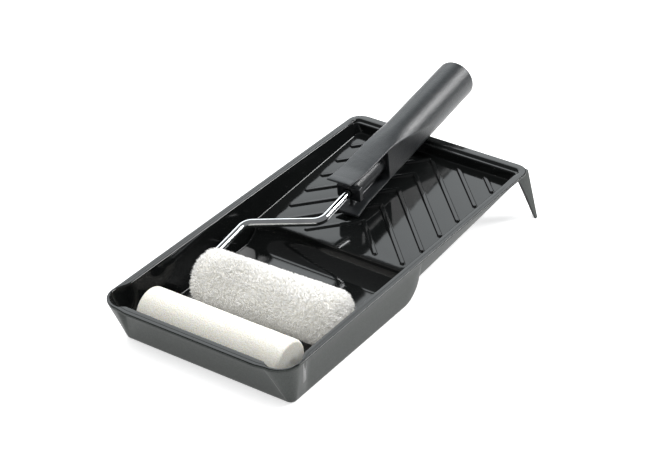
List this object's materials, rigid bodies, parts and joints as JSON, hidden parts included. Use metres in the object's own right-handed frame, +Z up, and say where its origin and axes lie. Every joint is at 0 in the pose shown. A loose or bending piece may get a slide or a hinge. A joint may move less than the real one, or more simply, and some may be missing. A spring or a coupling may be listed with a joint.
{
  "type": "paint roller tray",
  "caption": "Black moulded paint tray with a deep well, ribbed ramp and rear legs, holding a wire-frame mini roller with a fleece sleeve and a spare foam sleeve.",
  "frame": {"origin": "middle of the flat underside of the well, on the surface the tray stands on", "axes": "+Z up, +Y from the well up the ramp towards the handle's end, +X to the right when the well is in front"},
  "size_m": [0.1686, 0.3573, 0.0722],
  "materials": {
    "tray_plastic": "black injection-moulded polypropylene, glossy inside",
    "wire_steel": "bright nickel-chrome plated steel wire",
    "handle_plastic": "black polypropylene with a fine moulded grain",
    "bearing_plastic": "black acetal",
    "core_plastic": "natural polypropylene tube",
    "pile_fleece": "white woven polyester fleece with a long soft pile",
    "roller_foam": "cream fine-cell polyurethane foam"
  },
  "bodies": {
    "tray": {"tray_body": "tray_plastic"},
    "axle_bearings": {"inner_bearing": "bearing_plastic", "outer_bearing": "bearing_plastic"},
    "frame": {"frame_wire": "wire_steel", "handle_body": "handle_plastic"},
    "sleeve": {"pile_core": "core_plastic", "pile_cover": "pile_fleece"},
    "spare_sleeve": {"foam_core": "core_plastic", "foam_cover": "roller_foam"}
  },
  "joints": [
    {"name": "roller_lift", "type": "slide", "parent": "tray", "child": "axle_bearings", "axis": [0, 0, 1], "range_m": [0, 0.12]},
    {"name": "handle_swing", "type": "hinge", "parent": "axle_bearings", "child": "frame", "pos_m": [0, -0.0048, 0.0218], "axis": [0.999, 0.0436, 0], "range_deg": [0, 80]},
    {"name": "sleeve_spin", "type": "hinge", "parent": "axle_bearings", "child": "sleeve", "pos_m": [0, -0.0048, 0.0218], "axis": [0.999, 0.0436, 0], "continuous": true},
    {"name": "spare_lift", "type": "slide", "parent": "tray", "child": "spare_sleeve", "axis": [0, 0, 1], "range_m": [0, 0.1]}
  ]
}
